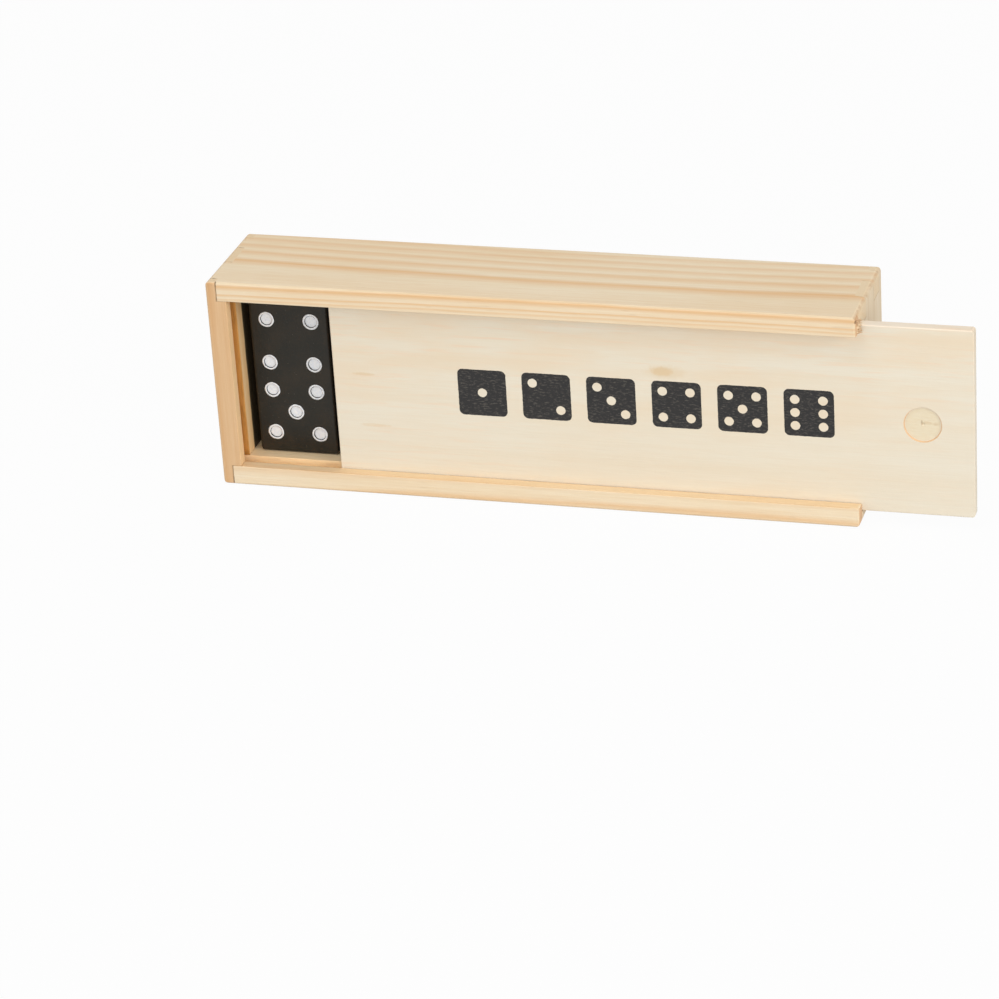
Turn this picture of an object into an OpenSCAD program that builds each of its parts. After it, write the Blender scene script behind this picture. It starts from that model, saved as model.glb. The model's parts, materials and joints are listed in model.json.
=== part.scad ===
// Domino storage box: a pine frame with finger-jointed corners, a panel let into its back,
// a thin lid that slides in grooves behind the front lips, and part of a domino set inside.
// It stands on one long side, with the lid facing the front.
// X runs along the box, Y from front to back and Z up.
// The origin is the centre of the side that the box stands on.

/* [Box frame] */
// Length of the box along the grooves of its lid
box_l = 177.5; // [140:0.5:260]
// Thickness of the frame's four boards
board_t = 5.5; // [4.4:0.1:8]
// Thickness of the panel in the back
panel_t = 2; // [1.5:0.1:3.2]
// Empty height above the tiles
head_room = 3.5; // [1:0.1:12]
// Empty depth between the lid's groove and the tiles
front_room = 3.6; // [0.5:0.1:12]
// Rounding of the frame's corners, as seen from the front
box_corner_r = 1.3; // [0.5:0.1:2.4]
// Rounding of the frame's other outer edges
box_edge_r = 0.7; // [0.2:0.1:1.2]

/* [Finger joints] */
// Width of the rails' front finger behind the lip
front_finger_w = 11; // [6:0.1:12]
// How far the rails' front finger reaches forwards into the lip
front_finger_lead = 0.6; // [0.3:0.1:1.4]
// Width of the end boards' middle finger
middle_finger_w = 10.3; // [4:0.1:11]
// Width of the end boards' finger at the back edge
rear_finger_w = 3.3; // [1.5:0.1:4]

/* [Sliding lid] */
// Thickness of the lid
lid_t = 3.2; // [2:0.1:5]
// Depth of the lips that hold the lid in
lip_t = 3.4; // [2:0.1:5]
// Depth of the groove for the lid, cut into each board
groove_depth = 2.5; // [1.5:0.1:3.2]
// Play in front of the lid and behind it
lid_play = 0.3; // [0.1:0.05:0.6]
// Play above the lid and below it
lid_edge_play = 0.35; // [0.1:0.05:1]
// Play between the closed lid and the bottom of the end groove
lid_end_play = 0.2; // [0.1:0.05:1]
// How far the lid is drawn out
lid_open = 30; // [0:0.5:60]
// Rounding of the lid's corners, as seen from the front
lid_corner_r = 1; // [0.3:0.1:2.5]
// Rounding of the lid's long edges
lid_edge_r = 0.35; // [0.1:0.05:0.8]
// Diameter of the thumb recess
recess_d = 9.9; // [6:0.1:20]
// Depth of the thumb recess
recess_depth = 0.4; // [0.2:0.1:1.4]
// Distance from the lid's outer end to the middle of the thumb recess
recess_inset = 13.6; // [11:0.1:40]
// Drop of the thumb recess below the middle of the lid
recess_drop = 0.7; // [0:0.1:5]
// Diameter of the drill's centre mark in the thumb recess
centre_mark_d = 1; // [0.5:0.1:2]
// Depth of the drill's centre mark
centre_mark_depth = 0.4; // [0.2:0.1:0.5]

/* [Domino tiles] */
// Length of a tile, which stands on end in the box
tile_l = 45.5; // [36:0.1:60]
// Width of a tile
tile_w = 22.5; // [18:0.1:30]
// Thickness of a tile
tile_t = 5.5; // [4.5:0.1:9]
// Rounding of a tile's corners, as seen from its face
tile_corner_r = 1.6; // [0.8:0.1:2.6]
// Rounding of a tile's edges
tile_edge_r = 0.8; // [0.3:0.1:1.2]
// Free space between the end board and the first stack of tiles
stack_inset = 2.15; // [0.3:0.05:8]
// Free space between two stacks of tiles
stack_gap = 0.2; // [0.1:0.05:1]
// Free space between two layers of tiles
layer_gap = 0.05; // [0.05:0.05:0.6]
// Free space between the tiles and the board that they stand on
foot_gap = 0.1; // [0.05:0.05:0.6]
// Diameter of a pip's hole at the face
pip_d = 3.4; // [2:0.1:5]
// Diameter of a pip's flat floor
pip_floor_d = 3.2; // [1:0.1:4.8]
// Depth of a pip's hole
pip_depth = 0.5; // [0.2:0.05:1.2]
// Distance from a tile's long edge to the middle of the outer pips
pip_side_margin = 4.9; // [3:0.1:6]
// Distance from a tile's short edge to the middle of the outer pips
pip_end_margin = 5.95; // [3:0.05:8]
// Distance from a tile's middle line to the middle of the nearest pips
pip_middle_margin = 4.1; // [2.6:0.1:6]

/* [Hidden] */
// Upper and lower number of each tile, by stack from the left and then by layer from the front
stacks = [
    [[4, 5], [2, 6], [1, 3], [0, 5]],
    [[2, 2], [1, 4], [3, 5], [0, 1]],
    [[2, 4], [1, 1], [0, 3], [2, 5]],
    [[3, 3], [1, 5], [2, 3], [4, 4]]
];
function tile_name(numbers) = str("tile_", numbers[0], "_", numbers[1]);

$fn = 64;
// Overshoot of a cut past the face that it opens
over = 1;
pine = "#e4cb9d";
lid_wood = "#ecdcbb";
plywood = "#dcc296";
black_paint = "#33322e";

layers = len(stacks[0]);
stack_pitch = tile_w + stack_gap;
layer_pitch = tile_t + layer_gap;

// What a board keeps outside the grooves, which is also the length of the corner fingers
lap_t = board_t - groove_depth;
groove_w = lid_t + 2 * lid_play;
groove_back = lip_t + groove_w;
box_h = 2 * board_t + tile_l + head_room;
box_d = groove_back + front_room + layers * layer_pitch + panel_t;

// Depths at which the fingers of the rails and of the end boards change places
middle_finger_front = lip_t + front_finger_w;
middle_finger_back = middle_finger_front + middle_finger_w;
rear_finger_front = box_d - rear_finger_w;

lid_l = box_l - lap_t - lid_end_play;
lid_h = box_h - 2 * lap_t - 2 * lid_edge_play;

pip_column = tile_w / 2 - pip_side_margin;
pip_far = tile_l / 2 - pip_end_margin;
pip_near = pip_middle_margin;
pip_mid = (pip_far + pip_near) / 2;

// Place of the box's left front bottom corner
module in_box() {
    translate([-box_l / 2, -box_d / 2, 0]) children();
}

// Rectangle with round corners and one corner at the origin
module rounded_rect(w, h, r) {
    translate([r, 0]) square([w - 2 * r, h]);
    translate([0, r]) square([w, h - 2 * r]);
    for (x = [r, w - r], y = [r, h - r])
        translate([x, y]) circle(r = r);
}

// Block with its corners rounded as seen along Y, and its other edges eased
module eased_block(size, corner_r, edge_r) {
    intersection() {
        translate([0, size.y, 0]) rotate([90, 0, 0])
            linear_extrude(size.y) rounded_rect(size.x, size.z, corner_r);
        linear_extrude(size.z) rounded_rect(size.x, size.y, edge_r);
        rotate([90, 0, 90]) linear_extrude(size.x) rounded_rect(size.y, size.z, edge_r);
    }
}

// Outer shape of the sanded frame
module sanded_frame() {
    eased_block([box_l, box_d, box_h], box_corner_r, box_edge_r);
}

// Notch for one finger of an end board, across the thickness of the rails
module finger_notch(x, front, back) {
    translate([x, front, -over]) cube([lap_t, back - front, box_h + 2 * over]);
}

// Long board before its groove is cut, at the bottom of the frame
module rail_blank() {
    difference() {
        cube([box_l, box_d, board_t]);
        finger_notch(0, 0, lip_t - front_finger_lead);
        for (x = [0, box_l - lap_t]) {
            finger_notch(x, middle_finger_front, middle_finger_back);
            finger_notch(x, rear_finger_front, box_d);
        }
    }
}

// Both long boards before their grooves are cut
module rail_blanks() {
    rail_blank();
    translate([0, 0, box_h - board_t]) rail_blank();
}

// Space of the lid's groove, open at the right end
module lid_groove() {
    translate([lap_t, lip_t, lap_t]) cube([box_l + over, groove_w, box_h - 2 * lap_t]);
}

// Space of the rebate that holds the back panel, running on behind the frame by a given depth
module panel_rebate(beyond) {
    translate([lap_t, box_d - panel_t, lap_t])
        cube([box_l - 2 * lap_t, panel_t + beyond, box_h - 2 * lap_t]);
}

// Any board of the frame: its blank, sanded outside, grooved and rebated inside
module frame_board() {
    color(pine) in_box() difference() {
        intersection() {
            children();
            sanded_frame();
        }
        lid_groove();
        panel_rebate(over);
    }
}

module side_rail_bottom() {
    frame_board() rail_blank();
}

module side_rail_top() {
    frame_board() translate([0, 0, box_h - board_t]) rail_blank();
}

// Left end board, as deep as the box, whose groove takes the closed lid
module end_board_closed() {
    frame_board() difference() {
        cube([board_t, box_d, box_h]);
        rail_blanks();
    }
}

// Right end board, set back so that the lid slides out over it
module end_board_open() {
    frame_board() difference() {
        translate([box_l - board_t, groove_back, 0]) cube([board_t, box_d - groove_back, box_h]);
        rail_blanks();
    }
}

module back_panel() {
    color(plywood) in_box() panel_rebate(0);
}

// Cutter for the thumb recess, with the cone that the drill's point leaves in its floor
module recess_cutter() {
    rotate([90, 0, 0]) translate([0, 0, -recess_depth]) cylinder(h = recess_depth + over, d = recess_d);
    translate([0, recess_depth, 0]) rotate([-90, 0, 0])
        cylinder(h = centre_mark_depth, d1 = centre_mark_d, d2 = 0);
}

module sliding_lid() {
    color(lid_wood) in_box() translate([
        lap_t + lid_end_play + lid_open,
        lip_t + lid_play,
        lap_t + lid_edge_play
    ]) difference() {
        eased_block([lid_l, lid_t, lid_h], lid_corner_r, lid_edge_r);
        translate([lid_l - recess_inset, 0, lid_h / 2 - recess_drop]) recess_cutter();
    }
}

// Places of the pips of one number, as column and row from -1 to 1
function pips(number) = concat(
    number % 2 == 1 ? [[0, 0]] : [],
    number >= 2 ? [[-1, -1], [1, 1]] : [],
    number >= 4 ? [[-1, 1], [1, -1]] : [],
    number == 6 ? [[-1, 0], [1, 0]] : []
);

// Cutter for one pip in a face that looks along -Y
module pip_cutter() {
    rotate([-90, 0, 0])
        cylinder(h = pip_depth, d1 = pip_d, d2 = pip_floor_d);
    rotate([90, 0, 0])
        cylinder(h = over, d = pip_d);
}

// Pips of one half of a tile, side 1 above its middle line and -1 below
module half_pips(number, side) {
    for (p = pips(number))
        translate([p.x * pip_column, 0, side * (pip_mid + p.y * (pip_far - pip_mid))]) pip_cutter();
}

// Tile in its stack and its layer, which are both counted from 0; the last layer stands against the panel
module stored_tile(stack, layer) {
    numbers = stacks[stack][layer];
    color(black_paint) in_box() translate([
        board_t + stack_inset + stack * stack_pitch,
        box_d - panel_t - (layers - layer) * layer_pitch,
        board_t + foot_gap
    ]) difference() {
        eased_block([tile_w, tile_t, tile_l], tile_corner_r, tile_edge_r);
        translate([tile_w / 2, 0, tile_l / 2]) {
            half_pips(numbers[0], 1);
            half_pips(numbers[1], -1);
        }
    }
}

side_rail_top();
side_rail_bottom();
end_board_closed();
end_board_open();
back_panel();
sliding_lid();
for (stack = [0 : len(stacks) - 1], layer = [0 : layers - 1])
    stored_tile(stack, layer);
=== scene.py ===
# %% [markdown]
# # A wooden domino box
# The real object is a small pine case. Four 5.5 mm boards meet in finger joints, a thin panel closes the
# back, and a pale lid slides in a groove behind the front lips. Black wooden tiles stand inside. The
# construction comes ready from CAD, and this script gives every piece its surface.

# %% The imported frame
import json
import math
import random

import bmesh
import bpy
from mathutils import Matrix, Vector
from mathutils.bvhtree import BVHTree


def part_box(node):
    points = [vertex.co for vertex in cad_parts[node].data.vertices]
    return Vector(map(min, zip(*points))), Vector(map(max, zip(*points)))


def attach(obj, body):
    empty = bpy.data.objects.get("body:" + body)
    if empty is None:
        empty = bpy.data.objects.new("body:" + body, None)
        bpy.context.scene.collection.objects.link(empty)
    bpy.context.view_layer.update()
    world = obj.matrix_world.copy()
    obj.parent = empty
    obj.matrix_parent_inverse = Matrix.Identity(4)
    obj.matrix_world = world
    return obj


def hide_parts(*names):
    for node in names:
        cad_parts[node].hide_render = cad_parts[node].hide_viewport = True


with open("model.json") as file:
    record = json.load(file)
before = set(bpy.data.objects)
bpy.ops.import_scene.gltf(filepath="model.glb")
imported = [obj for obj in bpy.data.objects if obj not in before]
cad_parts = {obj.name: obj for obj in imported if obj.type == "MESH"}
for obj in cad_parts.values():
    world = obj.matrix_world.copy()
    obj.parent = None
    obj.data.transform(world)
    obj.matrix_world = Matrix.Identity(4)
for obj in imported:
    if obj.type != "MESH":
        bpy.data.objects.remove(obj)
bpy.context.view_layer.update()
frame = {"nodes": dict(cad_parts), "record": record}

MM = 0.001

# %% [markdown]
# ## Sizes
# The boards, the lid and the tiles are read from the frame, so the looks follow the construction.

# %% Sizes read from the frame
FRAME_BOARDS = ["side_rail_top", "side_rail_bottom", "end_board_closed", "end_board_open"]
TILES = sorted(name for name in frame["nodes"] if name.startswith("tile_"))
BODY_OF = {node: body for body, nodes in frame["record"]["behaviour"]["bodies"].items() for node in nodes}


def box_mm(node):
    """Lowest and highest corner of a CAD node, in millimetres."""
    low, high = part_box(node)
    return low / MM, high / MM


BOX_LOW = Vector([min(box_mm(node)[0][axis] for node in FRAME_BOARDS) for axis in range(3)])
BOX_HIGH = Vector([max(box_mm(node)[1][axis] for node in FRAME_BOARDS) for axis in range(3)])
LID_LOW, LID_HIGH = box_mm("sliding_lid")
print("box", [round(c, 1) for c in BOX_HIGH - BOX_LOW], "mm, tiles", len(TILES))

# %% [markdown]
# ## The camera
# The photograph was taken with a long lens from the upper right, so the edges of the box hardly
# converge. The camera's three turns come in the order of a tripod head: swing, tilt and roll.

# %% Camera
CAMERA_PLACE = Vector((279.4, -938.3, 467.1)) * MM
CAMERA_SWING, CAMERA_TILT, CAMERA_ROLL = (math.radians(angle) for angle in (17.44, 90 - 25.78, -3.76))
CAMERA_LENS = 143.3


def add_object(name, data):
    """A new object in the scene."""
    thing = bpy.data.objects.new(name, data)
    bpy.context.scene.collection.objects.link(thing)
    return thing


camera = add_object("camera", bpy.data.cameras.new("camera"))
camera.data.lens = CAMERA_LENS
camera.data.sensor_width = 36
camera.matrix_world = (
    Matrix.Translation(CAMERA_PLACE)
    @ Matrix.Rotation(CAMERA_SWING, 4, "Z")
    @ Matrix.Rotation(CAMERA_TILT, 4, "X")
    @ Matrix.Rotation(CAMERA_ROLL, 4, "Z")
)
bpy.context.scene.camera = camera
print("camera at", [round(c, 3) for c in camera.location], "m, lens", CAMERA_LENS, "mm")

# %% [markdown]
# ## Wiring nodes from code
# Every material below is a node tree. Adding nodes one by one in Python is wordy, so a small helper
# adds a node, sets it and wires it in one call, and sums and products of values add math nodes.

# %% Values to reckon with
class Value:
    """A value in a node tree. Reckoning with it adds math nodes."""

    def __init__(self, net, socket):
        self.net, self.socket = net, socket

    def __add__(self, other):
        return self.net.math("ADD", self, other)

    def __sub__(self, other):
        return self.net.math("SUBTRACT", self, other)

    def __rsub__(self, other):
        return self.net.math("SUBTRACT", other, self)

    def __mul__(self, other):
        return self.net.math("MULTIPLY", self, other)

    def __truediv__(self, other):
        return self.net.math("DIVIDE", self, other)

    def __abs__(self):
        return self.net.math("ABSOLUTE", self)


print("values can be added, subtracted, multiplied and divided")


# %% A helper for node trees
class Net:
    """A node tree with short calls that add nodes and wire them."""

    def __init__(self, tree):
        self.tree = tree

    def add(self, kind, inputs=None, **settings):
        node = self.tree.nodes.new(kind)
        for name, value in settings.items():
            setattr(node, name, value)
        for key, value in (inputs or {}).items():
            self.plug(node.inputs[key], value)
        return node

    def plug(self, socket, value):
        if isinstance(value, Value):
            self.tree.links.new(value.socket, socket)
        else:
            socket.default_value = value

    def out(self, kind, inputs=None, output=0, **settings):
        """One output of a new node."""
        return Value(self, self.add(kind, inputs, **settings).outputs[output])

    def outs(self, kind, inputs=None, **settings):
        """All outputs of a new node, by name."""
        return {socket.name: Value(self, socket) for socket in self.add(kind, inputs, **settings).outputs}

    def math(self, operation, first, second=0):
        return self.out("ShaderNodeMath", {0: first, 1: second}, operation=operation)

    def vector(self, operation, first, second=(0, 0, 0), output="Vector"):
        return self.out("ShaderNodeVectorMath", {0: first, 1: second}, output, operation=operation)

    def stretch(self, vector, factors):
        return self.vector("MULTIPLY", vector, factors)

    def length(self, vector):
        return self.vector("LENGTH", vector, output="Value")

    def parts(self, vector):
        return tuple(self.outs("ShaderNodeSeparateXYZ", {0: vector}).values())

    def join(self, x=0, y=0, z=0):
        return self.out("ShaderNodeCombineXYZ", {0: x, 1: y, 2: z})

    def remap(self, value, low, high, to_low=0, to_high=1):
        """Smooth step of a value from one range to another."""
        ends = {"Value": value, "From Min": low, "From Max": high, "To Min": to_low, "To Max": to_high}
        return self.out("ShaderNodeMapRange", ends, interpolation_type="SMOOTHSTEP")

    def noise(self, vector, scale=1, detail=2, roughness=0.5):
        inputs = {"Vector": vector, "Scale": scale, "Detail": detail, "Roughness": roughness}
        return self.out("ShaderNodeTexNoise", inputs)

    def mix(self, factor, first, second, amount=None, blend="MIX"):
        """Mix of two colours by a factor, which an amount can weaken."""
        factor = factor if amount is None else factor * amount
        inputs = {0: factor, 6: first, 7: second}
        return self.out("ShaderNodeMix", inputs, 2, data_type="RGBA", blend_type=blend)

    def tint(self, factor, colour, tone, amount=None):
        """A colour multiplied by a tone, by a factor."""
        return self.mix(factor, colour, tone, amount, "MULTIPLY")

    def group(self, tree, inputs):
        return self.outs("ShaderNodeGroup", inputs, node_tree=tree)

    def shape(self, kind, inputs, output=0, **settings):
        """One output of a new geometry node."""
        return self.out("GeometryNode" + kind, inputs, output, **settings)

    def union(self, *shapes):
        """Shapes joined into one geometry."""
        joined = self.add("GeometryNodeJoinGeometry")
        for shape in shapes:
            self.plug(joined.inputs[0], shape)
        return Value(self, joined.outputs[0])

    def random_number(self, seed, low, high):
        """A random number for each point."""
        return self.out("FunctionNodeRandomValue", {"Seed": seed, 2: low, 3: high}, 1, data_type="FLOAT")


print("node helper ready")

# %% Node groups and colours
KINDS = {type(None): "Geometry", tuple: "Vector", float: "Float", int: "Int", bpy.types.Material: "Material"}


def new_tree(name, inputs, outputs, kind="ShaderNodeTree"):
    """A tree with sockets of the same kinds as given values: its net, its inputs and its outputs."""
    tree = bpy.data.node_groups.new(name, kind)
    for side, sockets in (("INPUT", inputs), ("OUTPUT", outputs)):
        for label, value in sockets.items():
            socket_type = "NodeSocket" + KINDS[type(value)]
            socket = tree.interface.new_socket(label, in_out=side, socket_type=socket_type)
            if value is not None:
                socket.default_value = value
    net = Net(tree)
    return net, net.outs("NodeGroupInput"), net.add("NodeGroupOutput").inputs


def srgb(red, green, blue):
    """A colour as a picture shows it, 0 to 255, turned into the linear values that shaders use."""
    def linear(channel):
        share = channel / 255
        return share / 12.92 if share <= 0.04045 else ((share + 0.055) / 1.055) ** 2.4

    return (linear(red), linear(green), linear(blue), 1)


print("fresh pine, linear:", [round(c, 3) for c in srgb(238, 217, 184)])

# %% [markdown]
# ## What all the wood shares
# A board's growth rings are circles about the stem's middle, the pith, and the same circles show as
# stripes on every face. One group measures the distance to the pith. Another draws the fibres, long and
# thin along the grain. A third finds a block's nearest edge, where hands and sandpaper wear it first.

# %% Distance to the pith
def make_ring_group():
    """Distance to the pith, which lies along X, swings slowly sideways and wanders a little."""
    inputs = {"Position": (0.0, 0.0, 0.0), "Swing": 0.0, "Swing Length": 420.0, "Wander": 0.8}
    net, given, result = new_tree("distance to pith", inputs, {"Radius": 0.0})
    along, across, height = net.parts(given["Position"])
    angle = along / given["Swing Length"] * math.tau
    swing = net.math("SINE", angle) * given["Swing"]
    section = net.join(0, across + swing, height)
    stretched = net.stretch(given["Position"], (0.025, 0.08, 0.08))
    wander = (net.noise(stretched, detail=1.5) - 0.5) * given["Wander"]
    net.plug(result["Radius"], net.length(section) + wander)
    return net.tree


RING_GROUP = make_ring_group()
print("group:", RING_GROUP.name)


# %% Fibres along the grain
def make_fibre_group():
    """Streaks of fibres, 0 to 1, and sparse dark flecks, both drawn out along X."""
    inputs = {"Position": (0.0, 0.0, 0.0), "Length": 30.0, "Width": 0.8}
    outputs = {"Streaks": 0.0, "Fine": 0.0, "Flecks": 0.0}
    net, given, result = new_tree("wood fibres", inputs, outputs)
    size = net.join(given["Length"], given["Width"], given["Width"])
    stretched = net.vector("DIVIDE", given["Position"], size)
    streaks = net.noise(stretched, detail=3, roughness=0.6)
    fine = net.noise(stretched, scale=4, roughness=0.65)
    short = net.stretch(stretched, (4, 1.3, 1.3))
    net.plug(result["Streaks"], net.remap(streaks, 0.32, 0.68))
    net.plug(result["Fine"], net.remap(fine, 0.3, 0.7))
    net.plug(result["Flecks"], net.remap(net.noise(short, detail=1), 0.72, 0.78))
    return net.tree


FIBRE_GROUP = make_fibre_group()
print("group:", FIBRE_GROUP.name)


# %% Distance to a block's nearest edge
def make_edge_group():
    """On a block's surface one distance to the faces is nothing, so the middle of three tells the edge."""
    inputs = {"Position": (0.0, 0.0, 0.0), "Half Size": (1.0, 1.0, 1.0)}
    outputs = {"Distance": 0.0, "Depth": 0.0}
    net, given, result = new_tree("distance to edge", inputs, outputs)
    inside = net.vector("SUBTRACT", given["Half Size"], net.vector("ABSOLUTE", given["Position"]))
    x, y, z = net.parts(inside)
    low = net.math("MINIMUM", x, y)
    high = net.math("MAXIMUM", x, y)
    net.plug(result["Distance"], net.math("MAXIMUM", low, net.math("MINIMUM", high, z)))
    net.plug(result["Depth"], net.math("MINIMUM", low, z))
    return net.tree


EDGE_GROUP = make_edge_group()
print("group:", EDGE_GROUP.name)

# %% [markdown]
# ## Sanded pine
# The rails are plain-sawn pine: pale early wood, with more orange late wood at the end of each year. The
# late wood is a colour ramp over the distance to the pith, so that each ring has its own place, width
# and strength. Fibres, a slow change of tone and small resin flecks lie over it.

# %% Starting points of a wood material
EARLY_WOOD = srgb(241, 225, 197)
LATE_WOOD = srgb(233, 196, 151)
END_GRAIN = srgb(235, 212, 176)
LIP_END = srgb(214, 170, 128)
SEAM_BROWN = srgb(84, 58, 36)
# Tint of the raw wood inside, with painted light on its shaded faces, and tint of the groove, with painted
# light and shade
RAIL_INSIDE_TINTS = (1.04, 0.99, 0.9, 1), (1.05, 0.88, 0.66, 1)
FLOOR_INSIDE_TINTS = (1.1, 1.05, 0.94, 1), (1.12, 1.08, 1.02, 1)
END_INSIDE_TINTS = (1.2, 1.26, 1.2, 1), (0.74, 0.5, 0.2, 1)
# How strongly the black shade of the gap beside the tiles is painted on the left end board
GAP_SHADE_AMOUNT = 0.94
RESIN = srgb(150, 104, 62)


def new_material(name):
    """A material and the net of its nodes."""
    material = bpy.data.materials.new(name)
    material.use_nodes = True
    return material, Net(material.node_tree)


def space_about(net, centre=(0, 0, 0), turn=0):
    """Object coordinates in mm about a centre, turned about Y until the grain runs along X."""
    spin = Matrix.Rotation(turn, 3, "Y")
    inputs = {
        "Vector": net.out("ShaderNodeTexCoord", output="Object"),
        "Location": -(spin @ Vector(centre)),
        "Rotation": (0, turn, 0),
        "Scale": (1 / MM, 1 / MM, 1 / MM),
    }
    return net.out("ShaderNodeMapping", inputs)


print("late wood, linear:", [round(c, 3) for c in LATE_WOOD])


# %% Growth rings and fibres
def late_wood(net, radius, rings):
    """How much late wood lies at a distance to the pith. Each ring is its radius, width and strength."""
    low, high = rings[0][0] - 3, rings[-1][0] + 3
    share = net.out("ShaderNodeMapRange", {"Value": radius, "From Min": low, "From Max": high})
    ramp = net.add("ShaderNodeValToRGB", {"Fac": share})
    stops = ramp.color_ramp.elements
    stops.remove(stops[0])
    stops[0].position, stops[0].color = 0, (0, 0, 0, 1)
    for ring_radius, width, strength in rings:
        for offset, value in ((-0.75 * width, 0), (0.1 * width, strength), (0.55 * width, 0)):
            stop = stops.new((ring_radius + offset - low) / (high - low))
            stop.color = (value, value, value, 1)
    return Value(net, ramp.outputs[0])


CORE_EDGE, CORE_STRENGTH = 0.6, 0.12
SLOW_TONE, SLOW_AMOUNT = (0.96, 0.89, 0.8, 1), 0.5
# Layer of fibres, how much it tints and its tone
FIBRE_TONES = [("Streaks", 0.5, (0.95, 0.89, 0.81, 1)), ("Fine", 0.35, (0.93, 0.87, 0.79, 1))]
FLECK_AMOUNT, YEAR_RELIEF, STREAK_RELIEF = 0.12, 0.8, 0.5


def wood_layers(net, space, rings, early, late, swing=0, wander=0.8, fibre=(34, 0.8), strength=1, core=0):
    """Colour and relief of planed wood: rings, a warmer core, a slow change of tone, fibres and flecks."""
    radius = net.group(RING_GROUP, {"Position": space, "Swing": swing, "Wander": wander})["Radius"]
    fibres = net.group(FIBRE_GROUP, {"Position": space, "Length": fibre[0], "Width": fibre[1]})
    years = late_wood(net, radius, rings)
    warm = net.remap(radius, core - CORE_EDGE, core + CORE_EDGE, CORE_STRENGTH, 0)
    years = net.math("MAXIMUM", years, warm)
    colour = net.mix(years, early, late)
    tone = net.noise(net.stretch(space, (0.012, 0.05, 0.05)))
    tone = net.remap(tone, 0.35, 0.7, 0, SLOW_AMOUNT * strength)
    colour = net.tint(tone, colour, SLOW_TONE)
    for layer, amount, tone in FIBRE_TONES:
        colour = net.tint(fibres[layer], colour, tone, amount * strength)
    colour = net.mix(fibres["Flecks"], colour, RESIN, FLECK_AMOUNT * strength**2)
    relief = fibres["Fine"] + years * YEAR_RELIEF
    return colour, relief + fibres["Streaks"] * STREAK_RELIEF


print("wood layers ready")


# %% Tones of the frame: outside, inside, groove and arrises
LYING, UPRIGHT = 0, math.radians(90)
GRAIN_AXIS = {LYING: (1, 0, 0), UPRIGHT: (0, 0, 1)}
# Shares of darker streaks in the groove and of painted shade in its corners
GROOVE_SHARE = {LYING: 0.15, UPRIGHT: 0.45}
CORNER_SHARE = {LYING: 0, UPRIGHT: 0.6}
# Land in front of the groove: painted light lifts it on the end boards, and painted shade darkens it on the
# rails' lips
LAND_TONE = {LYING: (0.88, 0.84, 0.82, 1), UPRIGHT: (1.08, 1.1, 1.18, 1)}
# Painted shade on the rails' arrises, which dulls their highlight
ARRIS_SHADE_TINT = {LYING: (0.86, 0.88, 0.84, 1), UPRIGHT: (1, 1, 1, 1)}
BOX_MIDDLE = (BOX_LOW + BOX_HIGH) / 2
BOX_HALF = (BOX_HIGH - BOX_LOW) / 2
# Height above the middle at which the painted shade in the groove's corners is full, and its soft border
CORNER_HEIGHT, CORNER_SOFT = 24.5, 2.5
# Brown of the groove's darker streaks and of the painted shade in its corners
GROOVE_STREAK_AND_SHADE_BROWN = srgb(150, 98, 34)
# Places behind the box's front, in mm
GROOVE_FRONT, GROOVE_BACK, TILE_FACE = 3.4, 7.2, 11.4


def inside_tones(net, colour, turn, edge, inside_tint):
    """Tone of the faces inside the box: raw wood with painted light that lifts these shaded faces, and
    painted shade that dulls the arrises' highlight. Also gives the mask of the inside faces.
    """
    inner = net.remap(edge["Depth"], 0.02, 0.12) * net.remap(edge["Distance"], 2, 3)
    raw = net.math("MAXIMUM", net.remap(edge["Depth"], 0.4, 0.9), inner)
    # Painted light: the tint lifts the shaded inside faces, along with the raw wood's own tone
    colour = net.tint(raw, colour, inside_tint)
    # Painted shade dulls the highlight on the arrises
    arris = net.remap(edge["Distance"], 0.15, 0.4, 1, 0)
    return net.tint(arris, colour, ARRIS_SHADE_TINT[turn]), raw


def groove_tones(net, colour, turn, place, raw, behind_lip, from_front, groove_tone):
    """The groove's tone and the tone of the land in front of it, both partly painted light and shade, darker
    streaks along the grain, and painted shade in the groove's corners.
    """
    before_back = net.remap(from_front, GROOVE_BACK - 0.1, GROOVE_BACK + 0.5, 1, 0)
    groove = raw * (behind_lip * before_back)
    # The groove's tint, partly painted light and shade
    colour = net.tint(groove, colour, groove_tone)
    land = raw * (1 - behind_lip)
    # The land's tint, partly painted light and shade
    colour = net.tint(land, colour, LAND_TONE[turn])
    grain = [0.12 if axis else 1 for axis in GRAIN_AXIS[turn]]
    streaks = net.remap(net.noise(net.stretch(place, grain), scale=1.4, detail=3), 0.45, 0.65)
    corner = net.remap(abs(net.parts(place)[2]), CORNER_HEIGHT - CORNER_SOFT, CORNER_HEIGHT)
    # Darker streaks along the grain, and painted shade in the corners where the groove meets the rails
    streaks_and_shade = net.math("MAXIMUM", streaks * GROOVE_SHARE[turn], corner * CORNER_SHARE[turn])
    return net.mix(streaks_and_shade * groove, colour, GROOVE_STREAK_AND_SHADE_BROWN)


print("frame half size in mm:", [round(c, 1) for c in BOX_HALF])


# %% Tones of the frame: painted gap shade, end grain and joints
# Black painted shade in the gap between the tiles and the end board
GAP_SHADE_BLACK = srgb(28, 23, 15)
LIP_SHARE = {LYING: 0.8, UPRIGHT: 0}
END_SHARE = 0.85
PORE_TONE = (0.84, 0.76, 0.66, 1)
# Painted shade on the rounded corners of the frame
ROUND_CORNER_SHADE = (0.83, 0.76, 0.71, 1)


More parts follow.
